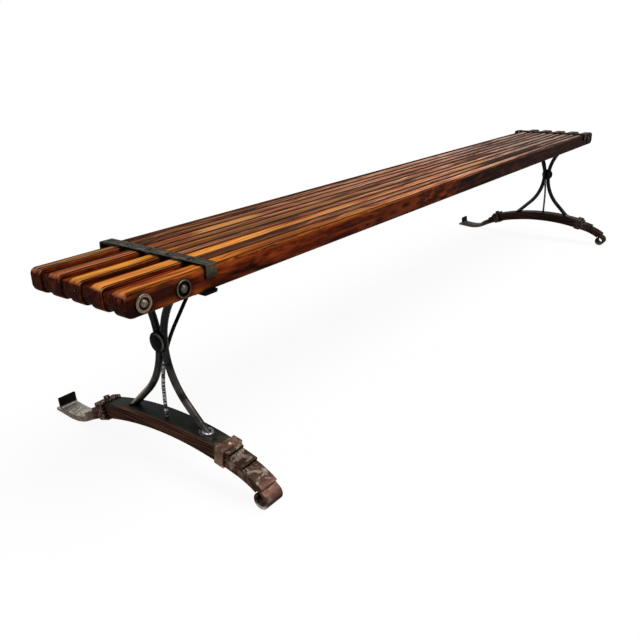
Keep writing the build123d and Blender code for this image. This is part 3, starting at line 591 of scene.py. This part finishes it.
# How the nodes' names end or begin, the material's name, its dark and its worn tone, and the rest.
# The top leaves come after all the leaves, so that they get their own material.
IRONS = (
    (("_leaf",), "spring_steel", paint(30, 24, 21), paint(92, 72, 62), dict(rusty=0.45, zones=leaf_zones)),
    (("_top_leaf",), "top_plate", paint(30, 33, 30), paint(86, 86, 76),
     dict(wear=0.2, tint=0.5, zones=plate_zones)),
    (("_clip", "clip_"), "clip_worn", paint(140, 110, 94), paint(202, 170, 150),
     dict(wear=0.6, rusty=0.12, rough=0.34, zones=clip_zones)),
    (("_top_strap",), "strap_iron", paint(40, 40, 34), paint(98, 88, 70),
     dict(rusty=0.15, tint=0.5, edge=0.7, zones=strap_zones)),
    (("strap_bolt",), "bolt_iron", paint(26, 27, 25), paint(104, 98, 84), dict(wear=0.6)),
    (("_bottom_bar",), "iron_black", BLACK, SOOT, dict(wear=0.4)),
    (("_hub_disc",), "hub_black", paint(11, 12, 12), paint(20, 21, 21),
     dict(wear=0.3, rusty=0.05, rough=0.32, tint=0.2, edge=0.1, zones=hub_zones)),
    (("_front_rod", "_rear_rod"), "rod_black", BLACK, paint(50, 47, 46),
     dict(wear=0.4, rough=0.32, tint=0.7, zones=rod_zones)),
    (("_brace_rod",), "brace_iron", BLACK, SOOT, dict(wear=0.4, grain=1.6, zones=brace_zones)),
    (("cross_rod", "brace_screws"), "washer_steel", paint(40, 37, 34), paint(112, 100, 88),
     dict(rusty=0.2, rough=0.34, grain=1.5, zones=washer_zones)))


def dress(names, material):
    for name in names:
        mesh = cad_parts[name].data
        mesh.materials.clear()
        mesh.materials.append(material)


def named(*parts):
    return [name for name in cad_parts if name.endswith(parts) or name.startswith(parts)]


def dress_seat():
    half, gap = BOARD_WIDTH / 2, CHANNEL / 2
    for i, (name, near, seed, mid_sheen_gain, far_sheen_gain, runs) in enumerate(BOARDS):
        centre = FRONT_Y + i * BOARD_PITCH + half
        dress([f"seat_board_{i + 1}"], wood(name, near, seed, centre, half, mid_sheen_gain, far_sheen_gain, runs, i == 0))
    for i, (strip_seed, block_seed) in enumerate(zip(STRIP_SEEDS, BLOCK_SEEDS)):
        centre = FRONT_Y + i * BOARD_PITCH + BOARD_WIDTH + gap
        runs = FIRST_STRIP_RUNS if i == 0 else ()
        dress([f"filler_strip_{i + 1}"],
              wood(f"strip_brown_{i + 1}", STRIP, strip_seed, centre, gap, STRIP_MID_SHEEN_GAIN, runs=runs))
        dress(named(f"_end_filler_{i + 1}"), wood(f"block_maroon_{i + 1}", MAROON, block_seed, centre, gap))
    dress(["rear_edge_strip"], wood("strip_rear", STRIP, REAR_SEED, *ALL_JOINT))


def dress_irons():
    for parts, name, dark, worn, rest in IRONS:
        dress(named(*parts), iron(name, dark, worn, **rest))


# ---- Stage and light ----
FLOOR_SIZE, FLOOR_Z = 80.0, -0.0005
# The floor's grey for the light it throws back, its white for the camera, and how much of that is emission.
FLOOR_FOR_LIGHT, FLOOR_AS_SEEN, WHITE_SHARE = 0.30, 1.0, 0.93
WORLD_LEVEL = 0.3
KEY_FROM, KEY_STRENGTH, KEY_SOFTNESS = Vector((0.7, -1.3, 3.0)), 2.5, 40.0


def background_rays(tree):
    """1 for the rays that show the background: camera, glossy and transmission rays."""
    path = tree.nodes.new("ShaderNodeLightPath")
    factor = path.outputs["Is Camera Ray"]
    for other in ("Is Glossy Ray", "Is Transmission Ray"):
        node = tree.nodes.new("ShaderNodeMath")
        node.operation = "MAXIMUM"
        tree.links.new(factor, node.inputs[0])
        tree.links.new(path.outputs[other], node.inputs[1])
        factor = node.outputs["Value"]
    return factor


def make_stage():
    """A plain white floor. The part of it that isn't emission keeps the object's shadow."""
    n = Nodes("floor_white")
    seen = background_rays(n.tree)
    n.finish(n.mix(seen, (FLOOR_FOR_LIGHT,) * 3, (FLOOR_AS_SEEN,) * 3), 0.9)
    bright = n.add("ShaderNodeEmission", Color=(1.0, 1.0, 1.0, 1.0), Strength=1.0)
    blend = n.add("ShaderNodeMixShader", Fac=n.times(seen, WHITE_SHARE))
    n.tree.links.new(n.shader.outputs["BSDF"], blend.inputs[1])
    n.tree.links.new(bright.outputs["Emission"], blend.inputs[2])
    n.tree.links.new(blend.outputs["Shader"], n.tree.nodes["Material Output"].inputs["Surface"])
    bpy.ops.mesh.primitive_plane_add(size=FLOOR_SIZE, location=(0.0, 0.0, FLOOR_Z))
    floor = bpy.context.object
    floor.name = "floor"
    floor.data.materials.append(n.material)


def make_world():
    """A plain soft light all round, which the background rays see as white."""
    world = bpy.data.worlds.new("world")
    bpy.context.scene.world = world
    world.use_nodes = True
    tree = world.node_tree
    tree.nodes.clear()
    blend = tree.nodes.new("ShaderNodeMixShader")
    tree.links.new(background_rays(tree), blend.inputs["Fac"])
    for index, level in ((1, WORLD_LEVEL), (2, 1.0)):
        shade = tree.nodes.new("ShaderNodeBackground")
        shade.inputs["Color"].default_value = (1.0, 1.0, 1.0, 1.0)
        shade.inputs["Strength"].default_value = level
        tree.links.new(shade.outputs["Background"], blend.inputs[index])
    out = tree.nodes.new("ShaderNodeOutputWorld")
    tree.links.new(blend.outputs["Shader"], out.inputs["Surface"])


def make_key():
    """A broad, distant and soft lamp, even over the whole floor."""
    data = bpy.data.lights.new("key", "SUN")
    data.energy = KEY_STRENGTH
    data.angle = math.radians(KEY_SOFTNESS)
    lamp = add_object("key", data)
    lamp.location = KEY_FROM
    lamp.rotation_euler = (-KEY_FROM).to_track_quat("-Z", "Y").to_euler()


# ---- Weld beads at the feet of the rods ----
BEAD_AROUND, BEAD_TURNS = 40, 12
BEAD_RADIUS, BEAD_THICK, BEAD_FLAT, BEAD_RISE = 0.0092, 0.0026, 0.8, 0.004
BEAD_LUMPS = (0.75, 1.3)
ROD_FOOT_IN = 0.0095
LUMP_SEED = 7


def weld_bead(name, at, slope, material, draw):
    """A lumpy closed ring of weld metal round a bar's foot, on a leaf that slopes along Y."""
    mesh = bmesh.new()
    lumps = [draw.uniform(*BEAD_LUMPS) for _ in range(BEAD_AROUND)]
    rows = []
    for i in range(BEAD_AROUND):
        a = 2 * math.pi * i / BEAD_AROUND
        fat = BEAD_THICK * (lumps[i] + lumps[i - 1]) / 2
        row = []
        for j in range(BEAD_TURNS):
            b = 2 * math.pi * j / BEAD_TURNS
            reach = BEAD_RADIUS + fat * math.cos(b)
            x, y = reach * math.cos(a), reach * math.sin(a)
            z = fat * BEAD_FLAT * math.sin(b) + slope * y
            row.append(mesh.verts.new((at[0] + x, at[1] + y, at[2] + z)))
        rows.append(row)
    for i in range(BEAD_AROUND):
        for j in range(BEAD_TURNS):
            k, m = (i + 1) % BEAD_AROUND, (j + 1) % BEAD_TURNS
            mesh.faces.new((rows[i][j], rows[k][j], rows[k][m], rows[i][m])).smooth = True
    bmesh.ops.recalc_face_normals(mesh, faces=mesh.faces)
    data = bpy.data.meshes.new(name)
    mesh.to_mesh(data)
    mesh.free()
    data.materials.append(material)
    piece = add_object(name, data)
    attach(piece, "root")


def make_welds():
    """Bright fresh-looking beads at the front rods, dull ones at the rear rods."""
    draw = random.Random(LUMP_SEED)
    bright = iron("weld_bright", paint(104, 106, 110), paint(206, 210, 216), SOOT,
                  wear=0.8, rough=0.3, tint=0.8)
    dull = iron("weld_dull", paint(30, 27, 25), paint(104, 96, 90), wear=0.6, rusty=0.2, tint=0.5)
    for end in ("near", "far"):
        for side, slope, material in (("front", 0.26, bright), ("rear", -0.33, dull)):
            low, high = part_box(f"{end}_{side}_rod")
            foot_y = low[1] + ROD_FOOT_IN if side == "front" else high[1] - ROD_FOOT_IN
            at = ((low[0] + high[0]) / 2, foot_y, low[2] + BEAD_RISE)
            weld_bead(f"{end}_{side}_weld", at, slope, material, draw)


make_camera()
dress_seat()
dress_irons()
make_welds()
make_stage()
make_world()
make_key()
bpy.context.scene.view_settings.view_transform = "Standard"
